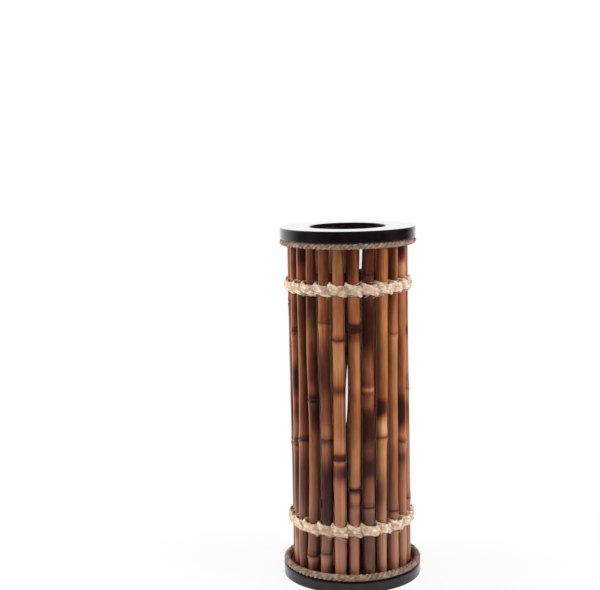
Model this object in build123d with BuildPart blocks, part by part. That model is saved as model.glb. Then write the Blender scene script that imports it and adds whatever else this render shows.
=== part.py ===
"""Cane vase: a ring of upright canes between two discs, twined with cord, around a lift-out glass liner."""

import math
import os

from build123d import *

# Whole vase, in millimetres, standing on z = 0 with its axis on +Z and its front towards -Y
vase_height = 400.0
disc_thickness = 13.0
disc_edge_radius = 1.5

# Each cane: diameter at the foot, diameter at the head, height of its lowest ring, spacing of its rings.
# They run anticlockwise seen from above, from the cane nearest the front.
canes = [
    (11.5, 14.0, 115.0, 179.0),
    (13.8, 11.8, 94.0, 129.0),
    (10.4, 12.8, 171.0, 170.0),
    (12.4, 11.2, 84.0, 200.0),
    (12.0, 13.0, 160.0, 165.0),
    (12.6, 12.0, 90.0, 127.0),
    (14.4, 12.4, 128.0, 144.0),
    (14.2, 10.6, 102.0, 136.0),
    (14.4, 11.2, 146.0, 152.0),
    (14.4, 10.8, 44.0, 140.0),
    (14.4, 10.4, 118.0, 133.0),
    (11.2, 10.4, 151.0, 158.0),
    (11.0, 14.2, 97.0, 148.0),
    (10.4, 14.4, 136.0, 126.0),
    (12.4, 14.4, 38.0, 155.0),
    (10.8, 14.4, 108.0, 161.0),
    (10.6, 14.2, 142.0, 138.0),
    (12.4, 12.8, 155.0, 160.0),
    (11.6, 12.4, 156.0, 127.0),
    (12.8, 12.0, 165.0, 170.0),
    (13.2, 11.4, 34.0, 178.0),
    (13.0, 12.6, 40.0, 130.0),
    (13.2, 11.8, 148.0, 133.0),
]
cane_gap = 4.4
first_foot_angle = 2.0
first_head_angle = 4.5

# Raised rings where a cane grew from one length to the next
ring_half_width = 3.0
ring_rise = 0.7
ring_notch = 0.3

# Blind sockets that the canes are glued into, in both discs
socket_depth = 5.0
socket_clearance = 0.2
cane_end_clearance = 0.3

# Twined bands: two flat soft strands that cross in every gap between canes
lower_band_height = 68.0
upper_band_drop = 64.0
strand_height = 8.0
strand_clearance = 0.2
crossing_clearance = 0.7
strand_end_gap = 0.8
ring_to_band = 2.0

# How finely the strands are sampled where their gaps are measured
steps_per_arc = 8
points_per_ring = 16

# Thin rope glued round the canes under the top disc and round the edge of the base disc
rim_rope_diameter = 6.5
rim_rope_end_gap = 1.0
top_rope_to_canes = 1.2
base_rope_to_canes = 3.2
rope_seat_gap = 0.1

# Glass liner that holds the water and lifts out through the mouth
liner_diameter = 84.0
liner_wall = 3.0
liner_floor = 6.0
liner_rim_drop = 4.0
liner_edge_radius = 1.2
liner_seat_depth = 2.0
mouth_clearance = 1.0


def polar(radius, degrees, height):
    """A point at an angle from the front, turning anticlockwise seen from above."""
    angle = math.radians(degrees)
    return Vector(radius * math.sin(angle), -radius * math.cos(angle), height)


def ring_of_canes(diameters, first_angle, height):
    """Radius of the ring, and each cane's centre, with the same gap between all neighbours."""
    count = len(diameters)
    radius = (sum(diameters) + count * cane_gap) / (2 * math.pi)
    centres = []
    angle = first_angle
    for i in range(count):
        centres.append(polar(radius, angle, height))
        step = (diameters[i] + diameters[(i + 1) % count]) / 2 + cane_gap
        angle += math.degrees(step / radius)
    return radius, centres


# Places worked out from the sizes above
foot_height = disc_thickness
head_height = vase_height - disc_thickness
foot_diameters = [cane[0] for cane in canes]
head_diameters = [cane[1] for cane in canes]
foot_radius, feet = ring_of_canes(foot_diameters, first_foot_angle, foot_height)
head_radius, heads = ring_of_canes(head_diameters, first_head_angle, head_height)
rim_rope_radius = rim_rope_diameter / 2
base_rope_ring = foot_radius + max(foot_diameters) / 2 + base_rope_to_canes + rim_rope_radius
top_rope_ring = head_radius + max(head_diameters) / 2 + top_rope_to_canes + rim_rope_radius
base_disc_radius = base_rope_ring + rim_rope_radius
top_disc_radius = top_rope_ring + rim_rope_radius
liner_radius = liner_diameter / 2
mouth_radius = liner_radius + mouth_clearance
upper_band_height = vase_height - upper_band_drop
band_heights = {"lower_band": lower_band_height, "upper_band": upper_band_height}
strand_thickness = cane_gap - 2 * strand_clearance
strand_rise = (strand_height + crossing_clearance) / 2
band_half_height = strand_rise + strand_height / 2


def share_up(height):
    """How far up a cane a height lies, from 0 at the base disc to 1 at the top disc."""
    return (height - foot_height) / (head_height - foot_height)


def cane_radius(i, height):
    """Radius of a cane at a height: it tapers evenly from foot to head."""
    return (foot_diameters[i] + (head_diameters[i] - foot_diameters[i]) * share_up(height)) / 2


def cane_centre(i, height):
    """Middle of a cane at a height."""
    return feet[i] + (heads[i] - feet[i]) * share_up(height)


def ring_heights(i):
    """Heights of a cane's rings, leaving out any that would lie under a band or in a disc."""
    _, _, lowest, spacing = canes[i]
    heights = []
    height = lowest
    while height + ring_half_width < head_height:
        clear = band_half_height + ring_half_width + ring_to_band
        if height - ring_half_width > foot_height and all(
            abs(height - band) > clear for band in band_heights.values()
        ):
            heights.append(height)
        height += spacing
    return heights


def gap_between(i, height):
    """Middle of the gap after a cane at a height, and the direction straight out through it."""
    j = (i + 1) % len(canes)
    here = cane_centre(i, height)
    along = cane_centre(j, height) - here
    free = along.length - cane_radius(i, height) - cane_radius(j, height)
    middle = here + along.normalized() * (cane_radius(i, height) + free / 2)
    outward = along.normalized().cross(Vector(0, 0, 1))
    return middle, outward


def strand_arcs(band_height, phase):
    """Tangent arcs of one strand, two to a cane, in front of every other cane, with its ends at the back."""
    arcs = []
    back_cane = len(canes) // 2
    for step in range(len(canes)):
        i = (back_cane + step) % len(canes)
        front = 1 if (step + phase) % 2 == 0 else -1
        start, start_out = gap_between(i - 1, band_height)
        end, end_out = gap_between(i, band_height)
        start += Vector(0, 0, front * strand_rise)
        end -= Vector(0, 0, front * strand_rise)
        leave = start_out * front
        arrive = end_out * -front
        chord = end - start
        both = leave + arrive
        turn = 2 * (1 - leave.dot(arrive))
        reach = (math.sqrt(chord.dot(both) ** 2 + turn * chord.dot(chord)) - chord.dot(both)) / turn
        first_knee = start + leave * reach
        second_knee = end - arrive * reach
        middle = (first_knee + second_knee) * 0.5
        arcs.append(TangentArc(start, middle, tangent=leave, mode=Mode.PRIVATE))
        arcs.append(TangentArc(middle, end, tangent=second_knee - first_knee, mode=Mode.PRIVATE))
    trim = strand_end_gap / 2
    arcs[0] = arcs[0].trim(trim / arcs[0].length, 1)
    arcs[-1] = arcs[-1].trim(0, 1 - trim / arcs[-1].length)
    return arcs


def skin_rings(arcs):
    """Points on a strand's skin: a middle and a ring of points around it at each step along its arcs."""
    rings = []
    for arc in arcs:
        for step in range(steps_per_arc + 1):
            middle = arc @ (step / steps_per_arc)
            heading = arc % (step / steps_per_arc)
            across = Vector(heading.X, heading.Y, 0).normalized().cross(Vector(0, 0, 1))
            ring = []
            for turn in range(points_per_ring):
                angle = 2 * math.pi * turn / points_per_ring
                sideways = across * (math.cos(angle) * strand_thickness / 2)
                upwards = Vector(0, 0, math.sin(angle) * strand_height / 2)
                ring.append(tuple(middle + sideways + upwards))
            rings.append((tuple(middle), ring))
    return rings


def least_gap(rings_a, rings_b, skip):
    """Least distance between two skins, leaving out rings fewer than skip steps apart."""
    least = math.inf
    for i, (middle_a, ring_a) in enumerate(rings_a):
        for j, (middle_b, ring_b) in enumerate(rings_b):
            if abs(i - j) < skip or math.dist(middle_a, middle_b) > 2 * strand_height:
                continue
            least = min(least, min(math.dist(a, b) for a in ring_a for b in ring_b))
    return least


os.makedirs("parts", exist_ok=True)

# Base disc, with a socket for the foot of every cane and a shallow seat for the liner
with BuildPart() as base_disc:
    with BuildSketch():
        Circle(base_disc_radius)
    extrude(amount=disc_thickness)
    fillet(base_disc.edges().filter_by(GeomType.CIRCLE), disc_edge_radius)
    with BuildSketch(Plane.XY.offset(foot_height)):
        for foot, diameter in zip(feet, foot_diameters):
            with Locations((foot.X, foot.Y)):
                Circle(diameter / 2 + socket_clearance)
    extrude(amount=-socket_depth, mode=Mode.SUBTRACT)
    with BuildSketch(Plane.XY.offset(foot_height)):
        Circle(mouth_radius)
    extrude(amount=-liner_seat_depth, mode=Mode.SUBTRACT)
base_disc.part.label = "base_disc"
export_step(base_disc.part, "parts/base_disc.step")

# Top disc, with the mouth through its middle and a socket for the head of every cane
with BuildPart() as top_disc:
    with BuildSketch(Plane.XY.offset(head_height)):
        Circle(top_disc_radius)
        Circle(mouth_radius, mode=Mode.SUBTRACT)
    extrude(amount=disc_thickness)
    fillet(top_disc.edges().filter_by(GeomType.CIRCLE), disc_edge_radius)
    with BuildSketch(Plane.XY.offset(head_height)):
        for head, diameter in zip(heads, head_diameters):
            with Locations((head.X, head.Y)):
                Circle(diameter / 2 + socket_clearance)
    extrude(amount=socket_depth, mode=Mode.SUBTRACT)
top_disc.part.label = "top_disc"
export_step(top_disc.part, "parts/top_disc.step")

# Canes, each turned from its own outline and leaning from its foot to its head
for i in range(len(canes)):
    cane_name = f"cane_{i + 1:02d}"
    lean = (heads[i] - feet[i]).normalized()
    seat = socket_depth - cane_end_clearance
    cane_bottom = feet[i] - lean * seat
    cane_length = (heads[i] - feet[i]).length + 2 * seat
    across = Vector(0, 1, 0).cross(lean).normalized()
    outline_plane = Plane(origin=cane_bottom, x_dir=across, z_dir=across.cross(lean))
    foot_edge = (cane_radius(i, foot_height), 0)
    head_edge = (cane_radius(i, head_height), cane_length)
    with BuildPart() as cane:
        with BuildSketch(outline_plane):
            with BuildLine():
                Line((0, 0), foot_edge)
                reached = foot_edge
                for height in ring_heights(i):
                    radius = cane_radius(i, height)
                    along = (height - cane_bottom.Z) / lean.Z
                    below = (radius, along - ring_half_width)
                    lower_lip = (radius + ring_rise, along - ring_half_width / 2)
                    notch = (radius + ring_notch, along)
                    upper_lip = (radius + ring_rise, along + ring_half_width / 2)
                    above = (radius, along + ring_half_width)
                    Line(reached, below)
                    ThreePointArc(below, lower_lip, notch)
                    ThreePointArc(notch, upper_lip, above)
                    reached = above
                Line(reached, head_edge)
                Polyline(head_edge, (0, cane_length), (0, 0))
            make_face()
        revolve(axis=Axis(cane_bottom, lean))
    cane.part.label = cane_name
    export_step(cane.part, f"parts/{cane_name}.step")

# Twined bands: two strands each, one always in front where the other is behind
for band_name, band_height in band_heights.items():
    routes = [strand_arcs(band_height, phase) for phase in (0, 1)]
    for number, route in enumerate(routes, start=1):
        strand_name = f"{band_name}_strand_{number}"
        with BuildPart() as strand:
            with BuildLine() as strand_line:
                add(route)
            heading = route[0] % 0
            flat_heading = Vector(heading.X, heading.Y, 0).normalized()
            across = flat_heading.cross(Vector(0, 0, 1))
            with BuildSketch(Plane(origin=route[0] @ 0, x_dir=across, z_dir=flat_heading)):
                Ellipse(strand_thickness / 2, strand_height / 2)
            guide = strand_line.wire().moved(Location((0, 0, strand_height)))
            sweep(path=strand_line.wire(), binormal=guide)
        strand.part.label = strand_name
        export_step(strand.part, f"parts/{strand_name}.step")
    skins = [skin_rings(route) for route in routes]
    between = least_gap(skins[0], skins[1], 0)
    itself = min(least_gap(skin, skin, 2 * (steps_per_arc + 1)) for skin in skins)
    print(f"{band_name}: least gap between strands {between:.2f} mm, to itself {itself:.2f} mm")

# Rim ropes, one open turn each with the butted ends at the back
rim_ropes = {
    "base_rim_rope": (base_rope_ring, foot_height + rope_seat_gap + rim_rope_radius),
    "top_rim_rope": (top_rope_ring, head_height - rope_seat_gap - rim_rope_radius),
}
for rope_name, (rope_ring, rope_height) in rim_ropes.items():
    open_angle = math.degrees(rim_rope_end_gap / rope_ring)
    with BuildPart() as rim_rope:
        with BuildSketch(Plane.YZ.rotated((0, open_angle / 2, 0))):
            with Locations((rope_ring, rope_height)):
                Circle(rim_rope_radius)
        revolve(axis=Axis.Z, revolution_arc=360 - open_angle)
    rim_rope.part.label = rope_name
    export_step(rim_rope.part, f"parts/{rope_name}.step")
    print(f"{rope_name}: gap between its ends {rim_rope_end_gap:.2f} mm")

# Glass liner: a straight tube with a thick floor, standing in its seat in the base disc
liner_bottom = foot_height - liner_seat_depth
liner_height = vase_height - liner_rim_drop - liner_bottom
with BuildPart() as glass_liner:
    with BuildSketch(Plane.XY.offset(liner_bottom)):
        Circle(liner_radius)
    extrude(amount=liner_height)
    with BuildSketch(Plane.XY.offset(liner_bottom + liner_floor)):
        Circle(liner_radius - liner_wall)
    extrude(amount=liner_height - liner_floor, mode=Mode.SUBTRACT)
    edges_by_height = glass_liner.edges().filter_by(GeomType.CIRCLE).group_by(Axis.Z)
    fillet(edges_by_height[0] + edges_by_height[-1], min(liner_edge_radius, 0.4 * liner_wall))
glass_liner.part.label = "glass_liner"
export_step(glass_liner.part, "parts/glass_liner.step")
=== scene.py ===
"""Looks of a cane vase: torched canes, twined sisal, jute rope, black lacquer and a clear glass liner."""

import math
import random
from functools import partial

import bmesh
import bpy
import numpy as np
from bpy.props import FloatProperty, FloatVectorProperty, IntProperty, PointerProperty, StringProperty
from mathutils import Matrix, Vector, noise


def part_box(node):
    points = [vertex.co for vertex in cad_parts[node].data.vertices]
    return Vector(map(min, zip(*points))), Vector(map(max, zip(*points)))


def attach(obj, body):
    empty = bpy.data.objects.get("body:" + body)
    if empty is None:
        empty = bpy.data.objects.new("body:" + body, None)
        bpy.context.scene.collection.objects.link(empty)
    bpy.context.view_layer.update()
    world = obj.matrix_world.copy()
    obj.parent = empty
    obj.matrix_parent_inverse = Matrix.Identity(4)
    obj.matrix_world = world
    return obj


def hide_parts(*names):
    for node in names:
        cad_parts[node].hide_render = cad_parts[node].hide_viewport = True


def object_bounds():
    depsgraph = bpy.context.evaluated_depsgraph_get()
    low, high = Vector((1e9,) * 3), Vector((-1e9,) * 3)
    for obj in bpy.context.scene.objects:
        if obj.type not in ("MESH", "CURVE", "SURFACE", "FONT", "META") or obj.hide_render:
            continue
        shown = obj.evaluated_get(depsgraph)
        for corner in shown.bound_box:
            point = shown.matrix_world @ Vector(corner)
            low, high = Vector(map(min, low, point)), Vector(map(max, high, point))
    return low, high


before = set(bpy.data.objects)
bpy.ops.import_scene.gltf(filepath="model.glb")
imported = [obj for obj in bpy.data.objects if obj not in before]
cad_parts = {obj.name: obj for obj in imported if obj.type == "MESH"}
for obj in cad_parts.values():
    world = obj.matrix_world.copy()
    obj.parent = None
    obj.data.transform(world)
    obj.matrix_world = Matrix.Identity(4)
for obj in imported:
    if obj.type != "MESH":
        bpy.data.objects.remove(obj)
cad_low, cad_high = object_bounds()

bl_info = {
    "name": "Cane Vase",
    "version": (1, 0, 0),
    "blender": (4, 5, 0),
    "location": "View3D > Sidebar > Vase",
    "description": "Models and finishes a vase of torched canes around its packed solids",
    "category": "Add Mesh",
}

MM = 0.001
UP = Vector((0, 0, 1))
BANDS = ("lower_band", "upper_band")

# Outline of a ring where a cane grew on: height from the groove in mm, and swell as a share of the lip
RING_OUTLINE = (
    (-13.0, 0.0), (-7.0, 0.16), (-3.4, 0.5), (-1.9, 1.0), (-0.9, 0.9), (-0.25, -0.4),
    (0.35, -0.35), (1.0, 0.55), (2.2, 0.75), (5.5, 0.36), (11.0, 0.06),
)

# Canes whose rings are swollen, and how many times as much
SWOLLEN = {"cane_03": 1.9, "cane_05": 1.6, "cane_21": 1.3, "cane_23": 1.2}

# Canes that are fuller than their solids or lean on a neighbour: how much fuller in mm, then their bows.
# A bow is its height, its reach and its shift to the right as seen from outside, in mm.
LEANING = {
    "cane_01": (0, ((385, 50, -2.0), (30, 110, -1.8))),
    "cane_02": (0.6, ((200, 300, -2.6),)),
    "cane_03": (0.4, ((90, 140, -3.0), (330, 90, -1.4))),
    "cane_04": (0, ((250, 80, -1.2), (60, 90, -1.2))),
    "cane_05": (0, ((240, 80, -1.2),)),
    "cane_10": (0.4, ((320, 130, 2.4),)),
    "cane_11": (0.4, ((285, 45, 3.4), (225, 40, 1.0))),
    "cane_12": (0.5, ((205, 115, 1.8), (194, 32, -1.7))),
    "cane_13": (1.15, ((205, 120, -2.3), (194, 32, 2.0))),
    "cane_14": (1.3, ((170, 140, -2.9),)),
    "cane_15": (1.0, ((120, 110, -2.5),)),
    "cane_19": (0, ((190, 100, 3.0),)),
    "cane_20": (0, ((190, 100, 3.4),)),
    "cane_21": (0.6, ((150, 90, 3.4),)),
    "cane_22": (0, ((135, 90, 3.4),)),
    "cane_23": (0.9, ()),
}

# How each cane on the front was torched: its plain tone from 0 straw to 1 char, then its marks.
# A mark is its height and reach in mm, how much darker or paler it is, and its side: -1 left, 0 all round
# or 1 right. Marks to one side are partly torch streaks and partly painted light and shade: the side of a
# cane that light fell on is paler, its shaded side darker.
TORCHED_AND_SHADED = {
    "cane_01": (0.36, (
        (372, 24, 0.2, 0), (366, 30, 0.3, -1), (294, 5, 0.62, 0), (285, 6, 0.2, 0), (230, 70, 0.22, -1),
        (240, 40, -0.06, 1), (113, 4, 0.5, 0), (96, 2.5, 0.2, 0), (84, 2.5, 0.16, 1), (150, 16, -0.05, 0),
    )),
    "cane_02": (0.67, (
        (366, 20, 0.05, 0), (298, 26, 0.34, 0), (248, 20, -0.14, 0), (225, 3.6, -0.48, 0),
        (211, 10, -0.18, 0), (184, 17, 0.36, 0), (157, 6, -0.04, 1), (138, 10, 0.36, 0),
        (106, 16, -0.08, 0), (40, 34, 0.04, 0),
    )),
    "cane_03": (0.3, (
        (365, 16, 0.1, 0), (250, 40, 0.1, -1), (203, 9, 0.3, 0), (203, 9, 0.34, -1), (182, 9, -0.2, 0),
        (150, 22, -0.1, 0), (106, 15, 0.16, -1), (112, 14, 0.08, 0), (40, 20, -0.08, 0),
    )),
    "cane_04": (0.3, (
        (350, 42, 0.36, -1), (318, 20, -0.08, 1), (272, 16, -0.06, 0), (120, 42, 0.2, 0), (82, 7, 0.3, 1),
        (205, 30, 0.1, 1), (45, 25, -0.03, 0),
    )),
    "cane_05": (0.34, (
        (374, 9, 0.5, 0), (354, 9, -0.26, 0), (305, 34, 0.25, 1), (255, 30, 0.12, -1), (197, 17, 0.52, -1),
        (190, 12, 0.2, 0), (168, 4, -0.16, 0), (140, 7, 0.26, 0), (100, 16, -0.05, 0), (40, 30, -0.08, 0),
    )),
    "cane_06": (0.34, (
        (281, 5, 0.42, 0), (330, 40, 0.1, 0), (229, 5, 0.16, 0), (190, 14, 0.22, 0), (130, 30, -0.06, 0),
    )),
    "cane_18": (0.52, (
        (330, 40, -0.06, 0), (240, 40, 0.3, -1), (190, 25, 0.24, 0), (110, 30, 0.1, 0), (60, 16, -0.08, 0),
    )),
    "cane_19": (0.44, (
        (365, 22, 0.14, 0), (310, 16, 0.14, 1), (287, 3.5, 0.22, 0), (232, 17, 0.48, 0), (192, 10, 0.22, 0),
        (162, 3.5, 0.22, 0), (118, 30, 0.3, 1), (36, 11, -0.26, 0),
    )),
    "cane_20": (0.5, (
        (372, 12, 0.32, 1), (318, 20, 0.2, 0), (250, 60, 0.24, 1), (250, 60, -0.1, -1), (166, 3.5, 0.22, 0),
        (120, 30, 0.24, 1), (45, 22, 0.06, 0),
    )),
    "cane_21": (0.56, (
        (318, 22, 0.22, 0), (250, 26, 0.18, 1), (260, 40, -0.12, -1), (215, 5, 0.22, 0), (196, 16, 0.3, 1),
        (150, 34, -0.05, 0), (95, 14, -0.06, 0), (30, 4, -0.2, 0), (37, 3, 0.06, 0),
    )),
    "cane_22": (0.5, (
        (366, 20, 0.1, 0), (320, 10, -0.04, 0), (309, 6, 0.05, 0), (290, 9, -0.12, 0), (250, 26, 0.22, 0),
        (215, 24, 0.2, -1), (180, 8, -0.1, 0), (167, 3, 0.24, 0), (106, 32, 0.7, 0), (32, 5, -0.16, 0),
    )),
    "cane_23": (0.36, (
        (366, 20, 0.1, 0), (310, 14, 0.08, 0), (282, 4, 0.14, 0), (260, 15, -0.14, 0), (240, 8, 0.02, 0),
        (226, 6, 0.38, 0), (190, 22, 0.02, 0), (164, 9, -0.1, 0), (151, 4, 0.46, 0), (133, 9, 0.3, 0),
        (133, 9, 0.2, 1), (100, 20, -0.06, 0), (35, 15, -0.02, 0),
    )),
}

# Power with which marks and bows fade over their reach, for a broad middle and soft ends
FADE = 3


def length_setting(name, description, mm):
    """Setting of a length, with its default in mm."""
    return FloatProperty(name=name, description=description, default=mm * MM, unit="LENGTH")


def colour_setting(name, description, default):
    """Setting of a colour, an sRGB hex value."""
    return StringProperty(name=name, description=description, default=default)


class CaneSettings(bpy.types.PropertyGroup):
    """Shape and torched colours of the canes."""

    sides: IntProperty(
        name="Sides", description="Sides of a cane before it is smoothed", default=14, min=8, max=32
    )
    bay: length_setting("Bay", "Length between modelled stations away from rings", 17)
    lip: length_setting("Ring lip", "How far a ring stands proud of its cane", 0.95)
    crook: length_setting("Crook", "How far a cane bows off its straight line", 0.45)
    oval: FloatProperty(
        name="Oval", description="How far a cane is out of round", default=0.025, subtype="FACTOR"
    )
    straw: colour_setting("Straw", "Palest cane", "#dcae82")
    honey: colour_setting("Honey", "Lightly toasted cane", "#bd7b49")
    toast: colour_setting("Toast", "Toasted cane", "#904c27")
    umber: colour_setting("Umber", "Darkly toasted cane", "#5f2810")
    char: colour_setting("Char", "Burnt cane", "#3c180c")
    olive: colour_setting("Olive", "Green that the flame has left", "#8c7440")
    # Partly the canes' own rose and partly painted light bounced up from the floor onto their lower half
    rose_and_bounce: colour_setting("Blush", "Dusty rose that the lower canes fade to", "#b38a78")


class TwineSettings(bpy.types.PropertyGroup):
    """Shape and colours of the twined sisal bands."""

    pass_height: length_setting("Pass height", "Height of a strand where it lies over a cane", 10.0)
    pass_thickness: length_setting("Pass thickness", "Thickness of a strand where it lies over a cane", 3.5)
    gap_height: length_setting("Gap height", "Height of a strand where it is pinched between canes", 13.6)
    gap_thickness: length_setting(
        "Gap thickness", "Thickness of a strand where it is pinched between canes", 4.0
    )
    slant: length_setting("Slant", "How far a strand climbs and falls from pass to pass", 1.5)
    dip: length_setting("Dip", "How far a band dips between canes", 2.0)
    fluff: length_setting("Fluff", "How far tufts stand out of a strand", 0.9)
    lay: length_setting("Lay", "Length in which the yarns go once round a strand", 70)
    yarns: IntProperty(name="Yarns", description="Yarns that show round a strand", default=9, min=3)
    strays: IntProperty(name="Strays", description="Loose fibres that stray off a strand", default=260)
    # Painted shade: sisal on the inside of the ring of canes is tinted brown to stand for the shade there
    inner_shade_tint: colour_setting("Soaked", "Sisal inside the canes, brown with varnish", "#5e3a25")
    shade: colour_setting("Shade", "Sisal between its fibres", "#a5876d")
    fibre: colour_setting("Fibre", "Most of the sisal", "#d9bda1")
    tip: colour_setting("Tip", "Palest sisal fibres", "#f6e4ce")


class RopeSettings(bpy.types.PropertyGroup):
    """Shape and colours of the jute rope under the top disc and round the base disc."""

    plies: IntProperty(name="Plies", description="Plies laid into the rope", default=3, min=2, max=5)
    lay: length_setting("Lay", "Length in which a ply goes once round the rope", 17)
    ply_share: FloatProperty(
        name="Ply share", description="Ply thickness as a share of the rope's",
        default=0.53, subtype="FACTOR",
    )
    base_fuller: FloatProperty(
        name="Base fuller", description="How much fuller the looser rope round the base is", default=1.16
    )
    shade: colour_setting("Shade", "Jute between its fibres", "#674f43")
    fibre: colour_setting("Fibre", "Most of the jute", "#8c7160")
    tip: colour_setting("Tip", "Palest jute fibres", "#b99d88")


class DiscSettings(bpy.types.PropertyGroup):
    """Edges and colours of the lacquered discs."""

    edge: length_setting("Edge", "Rounding of the discs' edges", 1.6)
    lacquer: colour_setting("Lacquer", "Black lacquer", "#120c0e")
    worn: colour_setting("Worn", "Lacquer where light catches dust", "#221a1e")
    stain: colour_setting("Stain", "Stained wood inside the base rope", "#6e2d14")


class LinerSettings(bpy.types.PropertyGroup):
    """Shape and colour of the clear glass liner."""

    wall: length_setting("Wall", "Thickness of the glass", 3)
    floor: length_setting("Floor", "Thickness of the glass floor", 6)
    edge: length_setting("Edge", "Rounding of the rim and foot", 1.2)
    glass: colour_setting("Glass", "Faint green cast of the glass", "#f1f4f2")


class StageSettings(bpy.types.PropertyGroup):
    """Camera, floor and light."""

    eye: FloatVectorProperty(
        name="Camera place", description="Where the camera stands",
        default=(-43.4 * MM, -1445.0 * MM, 520.3 * MM), subtype="TRANSLATION",
    )
    yaw: FloatProperty(
        name="Yaw", description="Camera turn to the right of +Y",
        default=math.radians(-0.443), unit="ROTATION",
    )
    pitch: FloatProperty(
        name="Pitch", description="Camera tilt downwards", default=math.radians(7.785), unit="ROTATION"
    )
    roll: FloatProperty(
        name="Roll", description="Camera roll", default=math.radians(-1.117), unit="ROTATION"
    )
    lens: FloatProperty(name="Lens", description="Focal length in mm on a 36 mm sensor", default=77.6)
    sky: FloatProperty(name="Sky", description="Light from all around", default=0.42)
    front: FloatProperty(
        name="Front", description="How bright the side in front of the vase looks in its gloss",
        default=0.04,
    )
    back: FloatProperty(
        name="Back", description="How bright the side behind the vase looks in its gloss", default=1.1
    )
    key: FloatProperty(name="Key lamp", description="Soft lamp at the front right", default=36.0)
    fill: FloatProperty(name="Fill lamp", description="Soft lamp at the left", default=38.0)
    floor: colour_setting("Floor", "Pale floor", "#f7f6f5")


class VaseSettings(bpy.types.PropertyGroup):
    """All settings of the vase."""

    canes: PointerProperty(type=CaneSettings)
    twine: PointerProperty(type=TwineSettings)
    rope: PointerProperty(type=RopeSettings)
    discs: PointerProperty(type=DiscSettings)
    liner: PointerProperty(type=LinerSettings)
    stage: PointerProperty(type=StageSettings)


def linear(colour):
    """Linear colour of an sRGB hex value."""
    parts = [int(colour[i:i + 2], 16) / 255 for i in (1, 3, 5)]
    return (*(c / 12.92 if c <= 0.04045 else ((c + 0.055) / 1.055) ** 2.4 for c in parts), 1.0)


def add_node(tree, kind, inputs=None, out=0, stops=(), **settings):
    """Adds a shader node with its settings and links, and gives one of its outputs.

    An input is a value or the output that it is linked from, and stops fill a colour ramp. A Mix node takes
    its share at 0 and mixes colours from 6 and 7 to output 2, or numbers from 2 and 3 to output 0.
    """
    node = tree.nodes.new("ShaderNode" + kind)
    for name, value in settings.items():
        setattr(node, name, value)
    for place, value in (inputs or {}).items():
        if isinstance(value, bpy.types.NodeSocket):
            tree.links.new(value, node.inputs[place])
        else:
            node.inputs[place].default_value = value
    for i, (position, colour) in enumerate(stops):
        while len(node.color_ramp.elements) <= i:
            node.color_ramp.elements.new(1.0)
        node.color_ramp.elements[i].position = position
        node.color_ramp.elements[i].color = linear(colour)
    return node.outputs[out] if node.outputs else None


def start_finish(name):
    """A new material with an empty tree, and the helper that adds nodes to it."""
    material = bpy.data.materials.new(name)
    material.use_nodes = True
    material.node_tree.nodes.clear()
    return material, partial(add_node, material.node_tree)


def torched_cane_finish(look):
    """Bamboo singed with a torch, then varnished: clouds of char melt into amber under a satin coat."""
    # The streaks are drawn coarser than the fibres of real cane, which would be too fine to show
    streak_width, streak_length, streak_depth = 1.6 * MM, 70 * MM, 0.4
    cloud_width, cloud_length, cloud_depth = 9 * MM, 30 * MM, 0.4
    green_width, green_length = 12 * MM, 38 * MM
    speck_size, grain_depth = 2.2 * MM, 0.25 * MM
    material, add = start_finish("torched_bamboo_satin_varnish")
    place = add("TexCoord", out="Object")
    patterns = []
    for width, length, detail, roughness in (
        (streak_width, streak_length, 3.0, 0.6),
        (cloud_width, cloud_length, 4.0, 0.55),
        (green_width, green_length, 2.0, 0.5),
    ):
        scale = (1 / width, 1 / width, 1 / length)
        drawn_out = add("Mapping", {"Vector": place, "Scale": scale})
        patterns.append(add("TexNoise", {
            "Vector": drawn_out, "Scale": 1.0, "Detail": detail, "Roughness": roughness,
        }))
    streaks, clouds, greens = patterns
    specks = add("TexNoise", {"Vector": place, "Scale": 1 / speck_size, "Detail": 2.0})
    # The scorch read here also holds painted shade at the canes' sides and top, and painted light on their
    # inward sides
    scorch, ring, rose_and_bounce = (
        add("Attribute", out="Fac", attribute_name=name) for name in ("scorch", "ring", "rose_and_bounce")
    )
    streaked = add("Math", {0: streaks, 1: streak_depth, 2: scorch}, operation="MULTIPLY_ADD")
    clouded = add("Math", {0: clouds, 1: cloud_depth, 2: streaked}, operation="MULTIPLY_ADD")
    middle = (streak_depth + cloud_depth) / 2
    burn_and_shade = add("Math", {0: clouded, 1: middle}, operation="SUBTRACT")
    colour = add("ValToRGB", {"Fac": burn_and_shade}, stops=(
        (0.05, look.straw), (0.26, look.honey), (0.5, look.toast), (0.72, look.umber), (0.92, look.char),
    ))
    unburnt_and_lit = add("Math", {0: 1.0, 1: burn_and_shade}, operation="SUBTRACT")
    patchy = add("Math", {0: unburnt_and_lit, 1: clouds}, operation="MULTIPLY")
    # The rose on lower canes is partly painted light bounced up from the floor
    rosy = add("Math", {0: patchy, 1: rose_and_bounce}, operation="MULTIPLY")
    left_green = add("MapRange", {"Value": greens, "From Min": 0.5, "From Max": 0.68, "To Max": 0.6})
    green = add("Math", {0: unburnt_and_lit, 1: left_green}, operation="MULTIPLY")
    singed = add("MapRange", {"Value": specks, "From Min": 0.7, "From Max": 0.8, "To Max": 0.35})
    dark = add("Math", {0: ring, 1: singed}, operation="MAXIMUM")
    for share, tint in ((green, look.olive), (rosy, look.rose_and_bounce), (dark, look.char)):
        colour = add("Mix", {0: share, 6: colour, 7: linear(tint)}, out=2, data_type="RGBA")
    gloss = add("MapRange", {
        "Value": burn_and_shade, "From Min": 0.1, "From Max": 0.9, "To Min": 0.26, "To Max": 0.34,
    })
    grain = add("Bump", {"Strength": 0.25, "Distance": grain_depth, "Height": streaks})
    shader = add("BsdfPrincipled", {
        "Base Color": colour, "Roughness": gloss, "Normal": grain,
        "Coat Weight": 0.8, "Coat Roughness": 0.25, "IOR": 1.5, "Specular IOR Level": 0.15,
    })
    add("OutputMaterial", {"Surface": shader})
    return material


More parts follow.
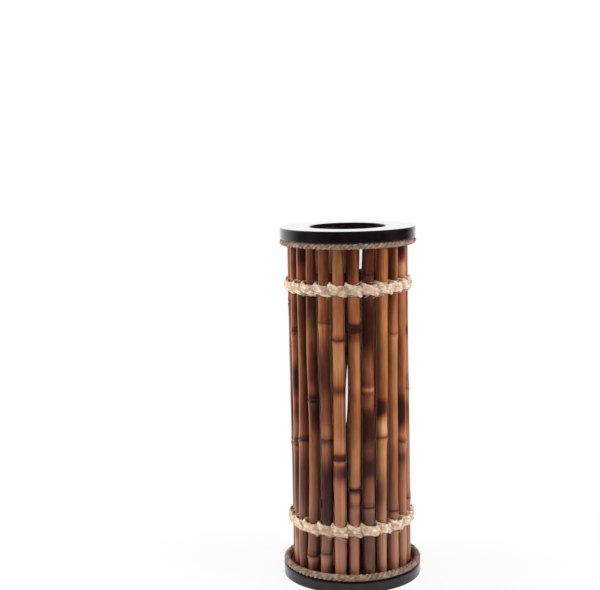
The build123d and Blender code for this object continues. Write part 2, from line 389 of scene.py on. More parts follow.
def fibre_finish(name, look, inner_shade_tint, fibre_width, fibre_length, strand_round):
    """Dry plant fibre, matt and hairy: pale fibres run along over darker ones, brown inside as painted
    shade.
    """
    # The fibres are drawn coarser than real ones, which would be too fine to show
    patch_size, patch_depth, hair_depth = 4.5 * MM, 0.7, 0.5 * MM
    material, add = start_finish(name)
    laid = add("UVMap", uv_map="laid")
    scale = (1 / fibre_length, strand_round / fibre_width, 1.0)
    along = add("Mapping", {"Vector": laid, "Scale": scale})
    fibres = add("TexNoise", {
        "Vector": along, "Scale": 1.0, "Detail": 3.0, "Roughness": 0.65, "Distortion": 0.4,
    })
    place = add("TexCoord", out="Object")
    patches = add("TexNoise", {"Vector": place, "Scale": 1 / patch_size, "Detail": 3.0})
    mixed = add("Math", {0: patches, 1: patch_depth, 2: fibres}, operation="MULTIPLY_ADD")
    dry = add("ValToRGB", {"Fac": mixed}, stops=(
        (0.62, look.shade), (0.86, look.fibre), (1.0, look.tip),
    ))
    inner_shade = add("Attribute", out="Fac", attribute_name="inner_shade")
    colour = add("Mix", {0: inner_shade, 6: dry, 7: linear(inner_shade_tint)}, out=2, data_type="RGBA")
    hair = add("Bump", {"Strength": 0.7, "Distance": hair_depth, "Height": fibres})
    shader = add("BsdfPrincipled", {
        "Base Color": colour, "Roughness": 0.82, "Normal": hair,
        "Sheen Weight": 0.2, "Sheen Roughness": 0.5, "Specular IOR Level": 0.3,
    })
    add("OutputMaterial", {"Surface": shader})
    return material


def black_lacquer_finish(look):
    """Black lacquer on turned wood: deep gloss, faint orange peel and dust, brown stain inside the rope."""
    peel_size, peel_depth, dust_size = 4 * MM, 0.3 * MM, 18 * MM
    lacquer_index, bare_roughness = 1.32, 0.6
    rope_low, rope_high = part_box("base_rim_rope")
    rope_ring = rope_high.x - (rope_high.z - rope_low.z) / 2
    material, add = start_finish("black_gloss_lacquer")
    place = add("TexCoord", out="Object")
    peel = add("TexNoise", {"Vector": place, "Scale": 1 / peel_size, "Detail": 1.0})
    dust = add("TexNoise", {"Vector": place, "Scale": 1 / dust_size, "Detail": 6.0})
    black = add("ValToRGB", {"Fac": dust}, stops=((0.42, look.lacquer), (0.75, look.worn)))
    gloss = add("MapRange", {
        "Value": dust, "From Min": 0.3, "From Max": 0.7, "To Min": 0.05, "To Max": 0.12,
    })
    level = add("VectorMath", {0: place, 1: (1, 1, 0)}, operation="MULTIPLY")
    from_axis = add("VectorMath", {0: level}, out="Value", operation="LENGTH")
    inside = add("Math", {0: from_axis, 1: rope_ring}, operation="LESS_THAN")
    height = add("SeparateXYZ", {0: place}, out="Z")
    low_down = add("Math", {0: height, 1: rope_high.z}, operation="LESS_THAN")
    bare = add("Math", {0: inside, 1: low_down}, operation="MULTIPLY")
    coated = add("Math", {0: 1.0, 1: bare}, operation="SUBTRACT")
    colour = add("Mix", {0: bare, 6: black, 7: linear(look.stain)}, out=2, data_type="RGBA")
    roughness = add("Mix", {0: bare, 2: gloss, 3: bare_roughness}, data_type="FLOAT")
    skin = add("Bump", {"Strength": 0.06, "Distance": peel_depth, "Height": peel})
    shader = add("BsdfPrincipled", {
        "Base Color": colour, "Roughness": roughness, "Normal": skin, "IOR": lacquer_index,
        "Coat Weight": coated, "Coat Roughness": 0.03, "Coat IOR": lacquer_index,
    })
    add("OutputMaterial", {"Surface": shader})
    return material


def clear_glass_finish(look):
    """Pressed soda glass: clear, smooth, with a faint ripple from the mould, and casting no shadow."""
    # A lower index than glass has, so that daylight in the gaps between canes is seen straight through it
    ripple_size, ripple_depth, glass_index = 22 * MM, 0.5 * MM, 1.15
    material, add = start_finish("clear_soda_glass")
    place = add("TexCoord", out="Object")
    ripple = add("TexNoise", {"Vector": place, "Scale": 1 / ripple_size, "Detail": 1.0})
    mould = add("Bump", {"Strength": 0.04, "Distance": ripple_depth, "Height": ripple})
    shader = add("BsdfPrincipled", {
        "Base Color": linear(look.glass), "Roughness": 0.02, "Normal": mould,
        "IOR": glass_index, "Transmission Weight": 1.0,
    })
    shadow = add("LightPath", out="Is Shadow Ray")
    no_shadow = add("BsdfTransparent")
    lets_light = add("MixShader", {0: shadow, 1: shader, 2: no_shadow})
    add("OutputMaterial", {"Surface": lets_light})
    return material


def nothing_selected():
    """Back to object mode with nothing selected."""
    if bpy.context.object and bpy.context.object.mode != "OBJECT":
        bpy.ops.object.mode_set(mode="OBJECT")
    bpy.ops.object.select_all(action="DESELECT")


def take_up(piece):
    """Selects one piece alone, in object mode."""
    nothing_selected()
    piece.select_set(True)
    bpy.context.view_layer.objects.active = piece


def start_ring(sides, radius, place, filled=True):
    """Adds a round plate or an open ring, in edit mode with all of it selected."""
    nothing_selected()
    bpy.ops.mesh.primitive_circle_add(
        vertices=sides, radius=radius, fill_type="NGON" if filled else "NOTHING", location=place
    )
    bpy.ops.object.mode_set(mode="EDIT")
    bpy.ops.mesh.select_all(action="SELECT")
    return bpy.context.object


def extrude(shift):
    """In edit mode, draws out what is selected."""
    bpy.ops.mesh.extrude_region_move(TRANSFORM_OT_translate={"value": shift})


def face_outward():
    """In edit mode, turns all faces outwards."""
    bpy.ops.mesh.select_all(action="SELECT")
    bpy.ops.mesh.normals_make_consistent(inside=False)


def round_rims(piece, rims, rounding, steps):
    """Finishes a turned piece: rounds its rims, given by radius and height, and keeps broad faces flat."""
    near, level, smooth_below = 0.2 * MM, 0.01 * MM, math.radians(35)
    face_outward()
    bpy.ops.mesh.select_all(action="DESELECT")
    bpy.ops.mesh.select_mode(type="EDGE")
    edit = bmesh.from_edit_mesh(piece.data)
    for edge in edit.edges:
        middle = (edge.verts[0].co + edge.verts[1].co) / 2
        edge.select_set(any(
            abs(middle.xy.length - radius) < near and abs(middle.z - height) < level
            for radius, height in rims
        ))
    bmesh.update_edit_mesh(piece.data)
    bpy.ops.mesh.bevel(offset=rounding, segments=steps, affect="EDGES")
    bpy.ops.object.mode_set(mode="OBJECT")
    bpy.ops.object.shade_smooth_by_angle(angle=smooth_below)
    flat = piece.modifiers.new("flat", "WEIGHTED_NORMAL")
    flat.keep_sharp = True
    bpy.ops.object.modifier_apply(modifier=flat.name)


def settle(piece, name, body, finish, node):
    """Names a finished piece, puts its place in its mesh and ties it to its body, slot and solid."""
    take_up(piece)
    bpy.ops.object.transform_apply(location=True, rotation=True, scale=True)
    piece.name = piece.data.name = name
    piece.data.materials.clear()
    piece.data.materials.append(finish)
    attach(piece, body)
    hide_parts(node)


def points_of(mesh):
    """Points of a mesh, one to a row."""
    return np.array([vert.co[:] for vert in mesh.vertices])


def write_on(mesh, name, values):
    """Keeps one number for each point of a mesh under a name that its finish reads."""
    mesh.attributes.new(name, "FLOAT", "POINT").data.foreach_set("value", values.astype(np.float32))


def unit(vectors):
    """Each of the vectors at a length of one."""
    return vectors / np.linalg.norm(vectors, axis=1)[:, None]


class Cane:
    """Line, thickness and rings of one cane, read from its solid."""

    def __init__(self, name):
        end_depth, ring_proud, ring_spacing = 0.5 * MM, 0.4 * MM, 8 * MM
        points = points_of(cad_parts[name].data)
        level = points[:, 2]
        ends = points[level < level.min() + end_depth], points[level > level.max() - end_depth]
        self.name = name
        self.foot, self.head = (Vector((end.min(0) + end.max(0)) / 2) for end in ends)
        self.foot_radius, self.head_radius = (
            float((end.max(0) - end.min(0))[:2].mean() / 2) for end in ends
        )
        line = np.array(self.head - self.foot)
        length = np.linalg.norm(line)
        offset = points - np.array(self.foot)
        along = offset @ line / length
        off_line = np.linalg.norm(offset - np.outer(along, line / length), axis=1)
        straight = self.foot_radius + (self.head_radius - self.foot_radius) * along / length
        groups = []
        for height in np.sort(level[off_line - straight > ring_proud]):
            if not groups or height - groups[-1][-1] > ring_spacing:
                groups.append([])
            groups[-1].append(float(height))
        self.rings = [(group[0] + group[-1]) / 2 for group in groups]
        self.fuller, self.bows = LEANING.get(name, (0, ()))

    def share(self, height):
        """How far up the cane a height lies."""
        return (height - self.foot.z) / (self.head.z - self.foot.z)

    def centre(self, height):
        """Middle of the cane at a height, leaning as it does."""
        straight = self.foot.lerp(self.head, self.share(height))
        to_right = Vector((-straight.y, straight.x, 0)).normalized()
        shift = sum(
            most * math.exp(-(abs(height / MM - middle) / reach) ** FADE)
            for middle, reach, most in self.bows
        )
        return straight + to_right * shift * MM

    def radius(self, height):
        """Radius of the cane at a height, away from its rings, and fuller only away from its ends."""
        end_ease = 4
        share = self.share(height)
        fuller = self.fuller * MM * min(1, end_ease * math.sin(math.pi * share))
        return self.foot_radius + (self.head_radius - self.foot_radius) * share + fuller


canes = [Cane(name) for name in sorted(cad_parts) if name.startswith("cane_")]


def stations(cane, look, chance):
    """Heights up a cane where it is shaped, with the swell there as a share of the ring lip."""
    weakest, strongest, clear_of_ring, waver = 0.75, 1.15, 15 * MM, 0.12
    foot, head = cane.foot.z, cane.head.z
    found = {foot: 0.0, head: 0.0}
    for ring in cane.rings:
        strength = chance.uniform(weakest, strongest) * SWOLLEN.get(cane.name, 1)
        for rise, swell in RING_OUTLINE:
            height = ring + rise * MM
            if foot < height < head:
                found[height] = swell * strength
    bays = round((head - foot) / look.bay)
    for bay in range(1, bays):
        height = foot + (head - foot) * bay / bays
        if all(abs(height - ring) > clear_of_ring for ring in cane.rings):
            found[height] = chance.uniform(-waver, waver)
    return sorted(found.items())


def marks_of(cane, chance):
    """Plain tone and marks of a cane, left to chance for the canes at the back."""
    if cane.name in TORCHED_AND_SHADED:
        return TORCHED_AND_SHADED[cane.name]
    count, lowest, highest = 8, 20, 385
    tone = chance.uniform(0.34, 0.6)
    marks = []
    for _ in range(count):
        height, reach = chance.uniform(lowest, highest), chance.choice((4, 8, 14, 30))
        strength, side = chance.uniform(-0.15, 0.45), chance.choice((-1, 0, 0, 1))
        marks.append((height, reach, strength, side))
    return tone, marks


def torch(mesh, cane, chance):
    """Writes on a cane's points where it is scorched, its ring grooves and its rosy cast, with painted shade
    at its sides and top and painted light on its inward side and lower half mixed in.
    """
    all_over, painted_inside_light, painted_side_shade, side_blend = 0.022, 0.22, 0.14, 0.9
    groove_depth, groove_reach, deepest = (0.3, 0.65), 1.1 * MM, 0.8
    halo_depth, halo_reach = (0.02, 0.16), 4 * MM
    lip_depth, lip_reach, lip_below = (0.02, 0.12), 2.5 * MM, 4 * MM
    points = points_of(mesh)
    height = points[:, 2]
    middle = np.array([cane.centre(float(level)).xy for level in height])
    outward = unit(middle)
    offset = points[:, :2] - middle
    to_right = (offset[:, 1] * outward[:, 0] - offset[:, 0] * outward[:, 1]) / cane.foot_radius
    inward = -np.sum(offset * outward, axis=1) / cane.foot_radius

    def reached(start, end):
        """How far each point is on the way from one height to another, both in mm."""
        return np.clip((height / MM - start) / (end - start), 0, 1)

    tone, marks = marks_of(cane, chance)
    # Painted light: each cane is paler on its inward side, to brighten the shaded inside of the vase
    scorch = tone + all_over - painted_inside_light * np.clip(inward, 0, 1)
    # Painted shade: each cane darkens towards its sides, where it turns into the shaded gaps between canes
    scorch += painted_side_shade * np.clip(np.abs(to_right), 0, 1) ** 3
    for mark_height, reach, strength, side in marks:
        spread = np.exp(-(np.abs(height / MM - mark_height) / reach) ** FADE)
        # A mark to one side is partly a torch streak and partly a painted side that is lit paler or shaded
        # darker
        if side:
            spread = spread * np.clip(0.5 + side * to_right * side_blend, 0, 1)
        scorch += strength * spread
    groove = np.zeros(len(points))
    for ring in cane.rings:
        groove += chance.uniform(*groove_depth) * np.exp(-((height - ring) / groove_reach) ** 2)
        scorch += chance.uniform(*halo_depth) * np.exp(-((height - ring) / halo_reach) ** 2)
        scorch -= chance.uniform(*lip_depth) * np.exp(-((height - ring + lip_below) / lip_reach) ** 2)
    # Canes are a little darker towards both ends; at the top this is painted shade under the top disc's rim.
    # Their lower half fades to rose, partly their own tone and partly painted light bounced up from the
    # floor
    top, lower, foot = reached(340, 380), reached(200, 80), reached(110, 50)
    scorch += 0.05 * top + 0.03 * lower + 0.07 * foot
    rose_and_bounce = chance.uniform(0.0, 0.25) + 0.7 * lower + 0.5 * foot
    for name, values in (("scorch", scorch), ("ring", np.clip(groove, 0, deepest)), ("rose_and_bounce", rose_and_bounce)):
        write_on(mesh, name, values)


def draw_cane(cane, look, chance):
    """Draws a cane up from its foot through its stations and smooths it."""
    steps = stations(cane, look, chance)
    # A cane that is set fuller has only the bows that are set for it
    crook = 0 if cane.fuller else look.crook
    bow = [chance.uniform(-crook, crook) for _ in range(4)]
    out_of_round = 1 + chance.uniform(-look.oval, look.oval)
    centre, radius = cane.centre(cane.foot.z), cane.foot_radius
    piece = start_ring(look.sides, radius, centre)
    bpy.ops.transform.resize(value=(out_of_round, 1 / out_of_round, 1), center_override=centre)
    for height, swell in steps[1:]:
        share = cane.share(height)
        bend, turn = math.sin(math.pi * share), math.sin(math.tau * share)
        bowed = Vector((bow[0] * bend + bow[1] * turn, bow[2] * bend + bow[3] * turn, 0))
        next_centre = cane.centre(height) + bowed
        next_radius = cane.radius(height) + swell * look.lip
        extrude(next_centre - centre)
        size = next_radius / radius
        bpy.ops.transform.resize(value=(size, size, 1), center_override=next_centre)
        centre, radius = next_centre, next_radius
    face_outward()
    bpy.ops.object.mode_set(mode="OBJECT")
    smooth = piece.modifiers.new("smooth", "SUBSURF")
    smooth.levels = smooth.render_levels = 1
    bpy.ops.object.modifier_apply(modifier=smooth.name)
    bpy.ops.object.shade_smooth()
    return piece


class VASE_OT_canes(bpy.types.Operator):
    """Draws each cane up from its foot ring by ring, smooths it, torches it and paints some light and shade
    on it
    """

    bl_idname = "vase.canes"
    bl_label = "Torched Canes"

    def execute(self, context):
        look = context.scene.vase.canes
        finish = torched_cane_finish(look)
        first_seed = 100
        for number, cane in enumerate(canes):
            chance = random.Random(first_seed + number)
            piece = draw_cane(cane, look, chance)
            settle(piece, f"torched_{cane.name}", "vase", finish, cane.name)
            torch(piece.data, cane, chance)
        return {"FINISHED"}


def read_line(points, steps):
    """Points along a smooth NURBS line with the given control points."""
    curve = bpy.data.curves.new("line", "CURVE")
    curve.dimensions = "3D"
    curve.resolution_u = steps
    spline = curve.splines.new("NURBS")
    spline.points.add(len(points) - 1)
    for control, point in zip(spline.points, points):
        control.co = (*point, 1.0)
    spline.order_u = 3
    spline.use_endpoint_u = True
    holder = bpy.data.objects.new("line", curve)
    read = bpy.data.meshes.new_from_object(holder)
    line = points_of(read)
    bpy.data.objects.remove(holder)
    bpy.data.curves.remove(curve)
    bpy.data.meshes.remove(read)
    return line


def headings(line):
    """Direction of a line at each of its points."""
    return unit(np.gradient(line, axis=0))


def run_of(line):
    """Distance along a line to each of its points."""
    return np.concatenate(([0.0], np.cumsum(np.linalg.norm(np.diff(line, axis=0), axis=1))))


def tube(line, side, over, turns, size):
    """Rings of points round a line, whose radius at an angle round it a function gives."""
    angles = [math.tau * j / turns for j in range(turns)]
    return np.stack([
        line + (side * math.cos(angle) + over * math.sin(angle)) * size(angle)[:, None] for angle in angles
    ], axis=1)


def sleeve(tubes):
    """One mesh object of closed tubes, each a list of equal rings of points with its distance along."""
    cap_round = 0.5
    points, faces, laid = [], [], []
    for rings, run in tubes:
        first = len(points)
        count, turns = rings.shape[:2]
        points.extend(map(tuple, rings.reshape(-1, 3)))
        for i in range(count - 1):
            for j in range(turns):
                corners = ((i, j), (i, j + 1), (i + 1, j + 1), (i + 1, j))
                faces.append([first + ring * turns + turn % turns for ring, turn in corners])
                laid.extend((run[ring], turn / turns) for ring, turn in corners)
        for i, order in ((0, -1), (count - 1, 1)):
            faces.append([first + i * turns + j for j in range(turns)][::order])
            laid.extend((run[i], cap_round) for _ in range(turns))
    mesh = bpy.data.meshes.new("sleeve")
    mesh.from_pydata(points, [], faces)
    mesh.uv_layers.new(name="laid").data.foreach_set("uv", np.array(laid, np.float32).ravel())
    piece = bpy.data.objects.new("sleeve", mesh)
    bpy.context.scene.collection.objects.link(piece)
    take_up(piece)
    bpy.ops.object.mode_set(mode="EDIT")
    face_outward()
    bpy.ops.object.mode_set(mode="OBJECT")
    bpy.ops.object.shade_smooth()
    return piece


def gap_after(i, height):
    """Middle of the gap after a cane at a height, and the direction straight out through it."""
    here, there = canes[i], canes[(i + 1) % len(canes)]
    across = there.centre(height) - here.centre(height)
    free = across.length - here.radius(height) - there.radius(height)
    across.normalize()
    return here.centre(height) + across * (here.radius(height) + free / 2), across.cross(UP)


def strand_knees(height, rise, phase):
    """Corners of one strand's route in and out between the canes, from the back right round."""
    knees = []
    for step in range(len(canes)):
        i = (len(canes) // 2 + step) % len(canes)
        front = 1 if (step + phase) % 2 == 0 else -1
        start, start_out = gap_after(i - 1, height)
        end, end_out = gap_after(i, height)
        start = start + Vector((0, 0, front * rise))
        end = end - Vector((0, 0, front * rise))
        leave, arrive = start_out * front, end_out * -front
        chord, both = end - start, leave + arrive
        turn = 2 * (1 - leave.dot(arrive))
        reach = (math.sqrt(chord.dot(both) ** 2 + turn * chord.dot(chord)) - chord.dot(both)) / turn
        if step == 0:
            knees.append(start)
        knees.extend((start + leave * reach, end - arrive * reach))
    knees.append(end)
    return knees


def strand_rings(line, run, height, look, seed):
    """Rings of points round a fluffy strand: low over a cane, taller where it turns in between canes."""
    turns = 45
    tuft, wisp, wisp_share, yarn_share = 4.2 * MM, 1.7 * MM, 0.6, 0.2
    # Powers with which a strand gets taller, thicker, lower and less full as it turns in, and rounds off
    taller, thicker, lower, less_full, rounder = 1.5, 3, 2, 10, 0.7
    ahead = headings(line)
    up = unit(np.array(UP) - ahead * ahead[:, 2:3])
    out = np.cross(ahead, up)
    from_axis = np.linalg.norm(line[:, :2], axis=1)
    outward = line * (1, 1, 0) / from_axis[:, None]
    facing = np.sum(out * outward, axis=1)
    in_front = from_axis > np.mean([gap_after(i, height)[0].xy.length for i in range(len(canes))])
    free_side = np.where((facing > 0) == in_front, -1, 1)
    pinch = np.clip(np.abs(line[:, 2] - height) / look.slant, 0, 1)
    tall = (look.pass_height + (look.gap_height - look.pass_height) * pinch ** taller) / 2
    thick = (look.pass_thickness + (look.gap_thickness - look.pass_thickness) * pinch ** thicker) / 2
    middles = [cane.centre(height).xy for cane in canes]
    crests = [middle.length + cane.radius(height) for middle, cane in zip(middles, canes)]
    nearest = [
        min(range(len(canes)), key=lambda i: (middles[i] - Vector(point[:2])).length) for point in line
    ]
    crest = np.array([crests[i] for i in nearest]) + look.pass_thickness
    short_of_crest = crest - look.dip * pinch ** lower - from_axis - thick * np.abs(facing)
    fill = np.where(in_front, np.clip(short_of_crest, 0, None) * (1 - pinch ** less_full), 0)
    rings = np.zeros((len(line), turns, 3))
    for i in range(len(line)):
        for j in range(turns):
            angle = math.tau * j / turns
            across, upward = math.cos(angle), math.sin(angle)
            skin = Vector(out[i] * -across / thick[i] + up[i] * upward / tall[i]).normalized()
            spot = (
                line[i] - out[i] * across * thick[i] + up[i] * upward * tall[i]
                + outward[i] * fill[i] * max(0, across * free_side[i]) ** rounder
            )
            wide = noise.noise(Vector(spot / tuft) + Vector((seed, 0, 0)))
            fine = noise.noise(Vector(spot / wisp) + Vector((0, seed, 0)))
            yarn = math.cos(look.yarns * (angle - math.tau * run[i] / look.lay))
            rings[i, j] = spot + np.array(skin) * look.fluff * (wide + wisp_share * fine + yarn_share * yarn)
    return rings


def stray_fibres(height, look, chance):
    """Loose fibres that lie over a band and bridge the dips between its passes, each a thin tube."""
    sides, steps, blunt = 4, 14, 0.02
    wave, waves, end_curl = 1.6 * MM, 5, 4
    edge_share, crown_share = 0.55, 0.45
    tubes = []
    for _ in range(look.strays):
        first, span = chance.uniform(0, len(canes)), chance.uniform(0.3, 1.2)
        level, drop = chance.gauss(0, 3.0) * MM, chance.uniform(-7, 7) * MM
        sag, lift = chance.uniform(0.2, 1.8) * MM, chance.uniform(0, 0.9) * MM
        stoutness = chance.uniform(0.18, 0.36) * MM
        points = []
        for step in range(steps + 1):
            done = step / steps
            at = first + span * done
            here, there = canes[int(at) % len(canes)], canes[(int(at) + 1) % len(canes)]
            rise = level + drop * (done - 0.5) + wave * noise.noise(Vector((waves * done, first, span)))
            crown = math.sqrt(max(0, 1 - (2 * rise / look.pass_height) ** 2))
            proud = look.pass_thickness * (edge_share + crown_share * crown)
            crests = [
                cane.centre(height).xy * (1 + (cane.radius(height) + proud) / cane.centre(height).xy.length)
                for cane in (here, there)
            ]
            between = at - int(at)
            flat = crests[0].lerp(crests[1], between)
            reach = crests[0].length + (crests[1].length - crests[0].length) * between
            reach += lift * (2 * done - 1) ** end_curl - sag * math.sin(math.pi * between) ** 2
            points.append((*(flat.normalized() * reach), height + rise))
        line = np.array(points)
        ahead = headings(line)
        side = np.cross(ahead, unit(line * (1, 1, 0)))
        taper = stoutness * np.sqrt(np.sin(math.pi * np.linspace(blunt, 1 - blunt, steps + 1)))
        rings = tube(line, side, np.cross(side, ahead), sides, lambda angle: taper)
        tubes.append((rings, run_of(line) + first))
    return tubes


class VASE_OT_bands(bpy.types.Operator):
    """Twines two soft sisal strands round the canes for each band"""

    bl_idname = "vase.bands"
    bl_label = "Twined Bands"

    def execute(self, context):
        look = context.scene.vase.twine
        finish = fibre_finish(
            "twisted_sisal", look, look.inner_shade_tint,
            fibre_width=0.55 * MM, fibre_length=11 * MM, strand_round=22 * MM,
        )
        line_steps, inner_shade_depth = 12, 2 * MM
        for number, band in enumerate(BANDS):
            for phase in (0, 1):
                name = f"{band}_strand_{phase + 1}"
                low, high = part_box(name)
                height = (low.z + high.z) / 2
                line = read_line(strand_knees(height, look.slant, phase), line_steps)
                run = run_of(line)
                fluff_seed = 7.0 * number + 3.0 * phase
                rings = strand_rings(line, run, height, look, fluff_seed)
                chance = random.Random(10 * number + phase)
                piece = sleeve([(rings, run), *stray_fibres(height, look, chance)])
                middle = np.mean([cane.centre(height).xy.length for cane in canes])
                reach = np.array([vert.co.xy.length for vert in piece.data.vertices])
                # Painted shade: passes inside the ring of canes turn brown
                write_on(piece.data, "inner_shade", np.clip((middle - reach) / inner_shade_depth, 0, 1))
                settle(piece, f"sisal_{name}", "vase", finish, name)
        return {"FINISHED"}


def rope_line(ring, height):
    """Points along a rope that lies in a ring and all but closes at the back."""
    corners, line_steps, opening = 48, 9, 1 * MM
    open_angle = opening / ring
    outside = ring / math.cos(math.pi / corners)
    knees = []
    for corner in range(corners + 1):
        angle = math.pi / 2 + open_angle / 2 + (math.tau - open_angle) * corner / corners
        reach = ring if corner in (0, corners) else outside
        knees.append(Vector((reach * math.cos(angle), reach * math.sin(angle), height)))
    return read_line(knees, line_steps)


def rope_ply(line, run, radius, ply, seed, look):
    """Rings of points round one ply of a rope, a little uneven and ridged by its yarns."""
    turns, uneven, uneven_length = 15, 0.06, 12 * MM
    yarns, yarn_proud, yarn_lay = 5, 0.07, 4 * MM
    up = np.tile(np.array(UP), (len(line), 1))
    out = np.cross(headings(line), up)
    ply_radius = radius * look.ply_share
    angle = math.tau * (run / look.lay + ply / look.plies)
    wander = np.array([1 + uneven * noise.noise(Vector((at / uneven_length, ply, seed))) for at in run])
    side = out * np.cos(angle)[:, None] + up * np.sin(angle)[:, None]
    core = line + side * ((radius - ply_radius) * wander)[:, None]
    ahead = headings(core)
    side = unit(side - ahead * np.sum(side * ahead, axis=1)[:, None])

    def size(around):
        """Radius of the ply at an angle round it."""
        yarn = 1 + yarn_proud * np.cos(yarns * around - math.tau * run / yarn_lay)
        return ply_radius * yarn * wander

    return tube(core, side, np.cross(ahead, side), turns, size)


class VASE_OT_rim_ropes(bpy.types.Operator):
    """Lays the jute ropes that trim the two discs"""

    bl_idname = "vase.rim_ropes"
    bl_label = "Rim Ropes"

    def execute(self, context):
        look = context.scene.vase.rope
        finish = fibre_finish(
            "laid_jute", look, look.shade,
            fibre_width=0.5 * MM, fibre_length=7 * MM, strand_round=11 * MM,
        )
        ropes = (("base_rim_rope", look.base_fuller), ("top_rim_rope", 1.0))
        for number, (name, fuller) in enumerate(ropes):
            low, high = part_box(name)
            radius = (high.z - low.z) / 2 * fuller
            line = rope_line(high.x - radius, low.z + radius)
            run = run_of(line)
            piece = sleeve([
                (rope_ply(line, run, radius, ply, 5 * number, look), run) for ply in range(look.plies)
            ])
            settle(piece, f"jute_{name}", "vase", finish, name)
        return {"FINISHED"}


class VASE_OT_discs(bpy.types.Operator):
    """Turns the two lacquered discs"""

    bl_idname = "vase.discs"
    bl_label = "Lacquered Discs"

    def execute(self, context):
        look = context.scene.vase.discs
        finish = black_lacquer_finish(look)
        sides, edge_steps, seat_edge = 160, 5, 0.5 * MM
        for name, open_middle in (("base_disc", False), ("top_disc", True)):
            low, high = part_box(name)
            outer, thickness, foot = high.x, high.z - low.z, (0, 0, low.z)
            points = points_of(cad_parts[name].data)
            from_axis = np.hypot(points[:, 0], points[:, 1])
            bore = float(from_axis.min())
            piece = start_ring(sides, outer, foot, filled=not open_middle)
            if open_middle:
                bpy.ops.mesh.extrude_edges_move()
                bpy.ops.transform.resize(value=(bore / outer, bore / outer, 1), center_override=foot)
                bpy.ops.mesh.select_all(action="SELECT")
            extrude((0, 0, thickness))
            if not open_middle:
                in_seat = (from_axis < bore + seat_edge) & (points[:, 2] > low.z + thickness / 2)
                bpy.ops.mesh.inset(thickness=outer - bore)
                extrude((0, 0, points[in_seat, 2].min() - high.z))
            radii = (outer, bore) if open_middle else (outer,)
            rims = [(radius, height) for radius in radii for height in (0, thickness)]
            round_rims(piece, rims, look.edge, edge_steps)
            settle(piece, f"lacquered_{name}", "vase", finish, name)
        return {"FINISHED"}


class VASE_OT_liner(bpy.types.Operator):
    """Draws up the glass liner and rounds its rim and foot"""

    bl_idname = "vase.liner"
    bl_label = "Glass Liner"

    def execute(self, context):
        look = context.scene.vase.liner
        sides, edge_steps = 128, 4
        low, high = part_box("glass_liner")
        radius, tall = high.x, high.z - low.z
        piece = start_ring(sides, radius, (0, 0, low.z))
        extrude((0, 0, tall))
        bpy.ops.mesh.inset(thickness=look.wall)
        extrude((0, 0, look.floor - tall))
        rims = ((radius, 0), (radius, tall), (radius - look.wall, tall))
        round_rims(piece, rims, look.edge, edge_steps)
        settle(piece, "clear_glass_liner", "liner", clear_glass_finish(look), "glass_liner")
        return {"FINISHED"}


def mirrored_in_gloss(add, direction, look):
    """How bright the surroundings look in the vase's gloss: white behind the vase, dark in front of it."""
    dark_side, dark_from, dark_by = (0.26, -0.97, 0), -0.85, -0.1
    to_front = add("VectorMath", {0: direction, 1: dark_side}, out="Value", operation="DOT_PRODUCT")
    return add("MapRange", {
        "Value": to_front, "From Min": dark_from, "From Max": dark_by,
        "To Min": look.back, "To Max": look.front,
    }, interpolation_type="SMOOTHSTEP")


def pale_floor_finish(look):
    """Pale matt floor: it keeps the vase's soft shadow close by and is plain white away from the vase."""
    near, white_from, gloss_from = 0.1, 0.4, 0.6
    near_white, near_gloss = 0.88, 0.75
    material, add = start_finish("pale_floor")
    place = add("TexCoord", out="Object")
    away = add("VectorMath", {0: place}, out="Value", operation="LENGTH")
    rays = add("LightPath").node.outputs
    shown = add("Math", {0: rays["Is Camera Ray"], 1: rays["Is Glossy Ray"]}, operation="MAXIMUM")
    seen = add("Math", {0: shown, 1: rays["Is Transmission Ray"]}, operation="MAXIMUM")
    fade = add("MapRange", {
        "Value": away, "From Min": near, "From Max": white_from,
    }, interpolation_type="SMOOTHSTEP")
    pale = add("MapRange", {"Value": fade, "To Min": near_white, "To Max": 1.0})
    white = add("Math", {0: seen, 1: pale}, operation="MULTIPLY")
    direction = add("VectorMath", {0: place}, operation="NORMALIZE")
    mirrored = mirrored_in_gloss(add, direction, look)
    clear_of_vase = add("MapRange", {"Value": away, "From Min": near, "From Max": gloss_from})
    mirrored = add("Mix", {0: clear_of_vase, 2: near_gloss, 3: mirrored}, data_type="FLOAT")
    # Rays that pass through the glass see the floor as the camera does
    mirror_ray = add("Math", {
        0: rays["Is Glossy Ray"], 1: rays["Is Transmission Ray"],
    }, operation="SUBTRACT", use_clamp=True)
    strength = add("Mix", {0: mirror_ray, 2: 1.0, 3: mirrored}, data_type="FLOAT")
    glow = add("Emission", {"Color": (1, 1, 1, 1), "Strength": strength})
    matt = add("BsdfDiffuse", {"Color": linear(look.floor)})
    mixed = add("MixShader", {0: white, 1: matt, 2: glow})
    add("OutputMaterial", {"Surface": mixed})
    return material


def lay_floor(look):
    """Lays a plain pale floor under the vase."""
    floor_width = 16
    nothing_selected()
    bpy.ops.mesh.primitive_plane_add(size=floor_width, location=(0, 0, 0))
    floor = bpy.context.object
    floor.name = "pale_floor"
    floor.data.materials.append(pale_floor_finish(look))


def surround(look):
    """Puts white surroundings round the vase, which light it softly."""
    world = bpy.data.worlds.new("white_surroundings")
    world.use_nodes = True
    world.node_tree.nodes.clear()
    add = partial(add_node, world.node_tree)
    rays = add("LightPath").node.outputs
    seen = add("Math", {0: rays["Is Camera Ray"], 1: rays["Is Transmission Ray"]}, operation="MAXIMUM")
    mirrored = mirrored_in_gloss(add, add("TexCoord", out="Generated"), look)
    unseen = add("Mix", {0: rays["Is Glossy Ray"], 2: look.sky, 3: mirrored}, data_type="FLOAT")
    strength = add("Mix", {0: seen, 2: unseen, 3: 1.0}, data_type="FLOAT")
    sky = add("Background", {"Color": (1, 1, 1, 1), "Strength": strength})
    add("OutputWorld", {"Surface": sky})
    bpy.context.scene.world = world


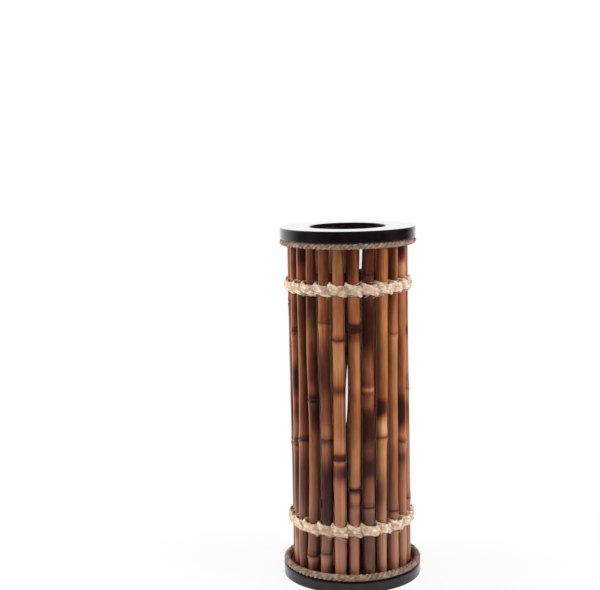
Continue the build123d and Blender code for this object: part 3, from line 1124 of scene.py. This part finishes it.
def hang_lamps(look):
    """Hangs two soft lamps that don't show in the vase's gloss."""
    middle = (cad_low + cad_high) / 2
    for name, place, size, power in (
        ("key_lamp", Vector((1.9, -0.7, 1.2)), 1.1, look.key),
        ("fill_lamp", Vector((-1.95, 0.0, 0.9)), 1.2, look.fill),
    ):
        bpy.ops.object.light_add(type="AREA", location=place)
        lamp = bpy.context.object
        lamp.name = name
        lamp.data.energy = power
        lamp.data.size = size
        lamp.visible_glossy = False
        lamp.rotation_mode = "QUATERNION"
        lamp.rotation_quaternion = (middle - place).to_track_quat("-Z", "Y")


def stand_camera(look):
    """Stands the camera where the photograph was taken from."""
    ahead = Vector((
        math.sin(look.yaw) * math.cos(look.pitch),
        math.cos(look.yaw) * math.cos(look.pitch),
        -math.sin(look.pitch),
    ))
    right = ahead.cross(UP).normalized()
    up = right.cross(ahead)
    rolled_right = right * math.cos(look.roll) + up * math.sin(look.roll)
    rolled_up = up * math.cos(look.roll) - right * math.sin(look.roll)
    turned = Matrix((rolled_right, rolled_up, -ahead)).transposed().to_4x4()
    bpy.ops.object.camera_add()
    camera = bpy.context.object
    camera.matrix_world = Matrix.Translation(look.eye) @ turned
    camera.data.sensor_width = 36
    camera.data.lens = look.lens
    bpy.context.scene.camera = camera


class VASE_OT_stage(bpy.types.Operator):
    """Sets the pale floor, the white surroundings, the soft lamps and the camera"""

    bl_idname = "vase.stage"
    bl_label = "Stage"

    def execute(self, context):
        look = context.scene.vase.stage
        context.scene.view_settings.view_transform = "Standard"
        lay_floor(look)
        surround(look)
        hang_lamps(look)
        stand_camera(look)
        return {"FINISHED"}


class VASE_PT_panel(bpy.types.Panel):
    """Lists the pieces of the vase and their settings"""

    bl_idname = "VASE_PT_panel"
    bl_label = "Cane Vase"
    bl_space_type = "VIEW_3D"
    bl_region_type = "UI"
    bl_category = "Vase"

    def draw(self, context):
        vase = context.scene.vase
        for operator, group in (
            (VASE_OT_discs, vase.discs), (VASE_OT_canes, vase.canes), (VASE_OT_bands, vase.twine),
            (VASE_OT_rim_ropes, vase.rope), (VASE_OT_liner, vase.liner), (VASE_OT_stage, vase.stage),
        ):
            box = self.layout.box()
            for name in group.__annotations__:
                box.prop(group, name)
            box.operator(operator.bl_idname)


CLASSES = (
    CaneSettings, TwineSettings, RopeSettings, DiscSettings, LinerSettings, StageSettings, VaseSettings,
    VASE_OT_discs, VASE_OT_canes, VASE_OT_bands, VASE_OT_rim_ropes, VASE_OT_liner, VASE_OT_stage,
    VASE_PT_panel,
)


def register():
    for item in CLASSES:
        bpy.utils.register_class(item)
    bpy.types.Scene.vase = PointerProperty(type=VaseSettings)


def unregister():
    del bpy.types.Scene.vase
    for item in reversed(CLASSES):
        bpy.utils.unregister_class(item)


def main():
    """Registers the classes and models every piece."""
    register()
    bpy.ops.vase.discs()
    bpy.ops.vase.canes()
    bpy.ops.vase.bands()
    bpy.ops.vase.rim_ropes()
    bpy.ops.vase.liner()
    bpy.ops.vase.stage()


if __name__ == "__main__":
    main()
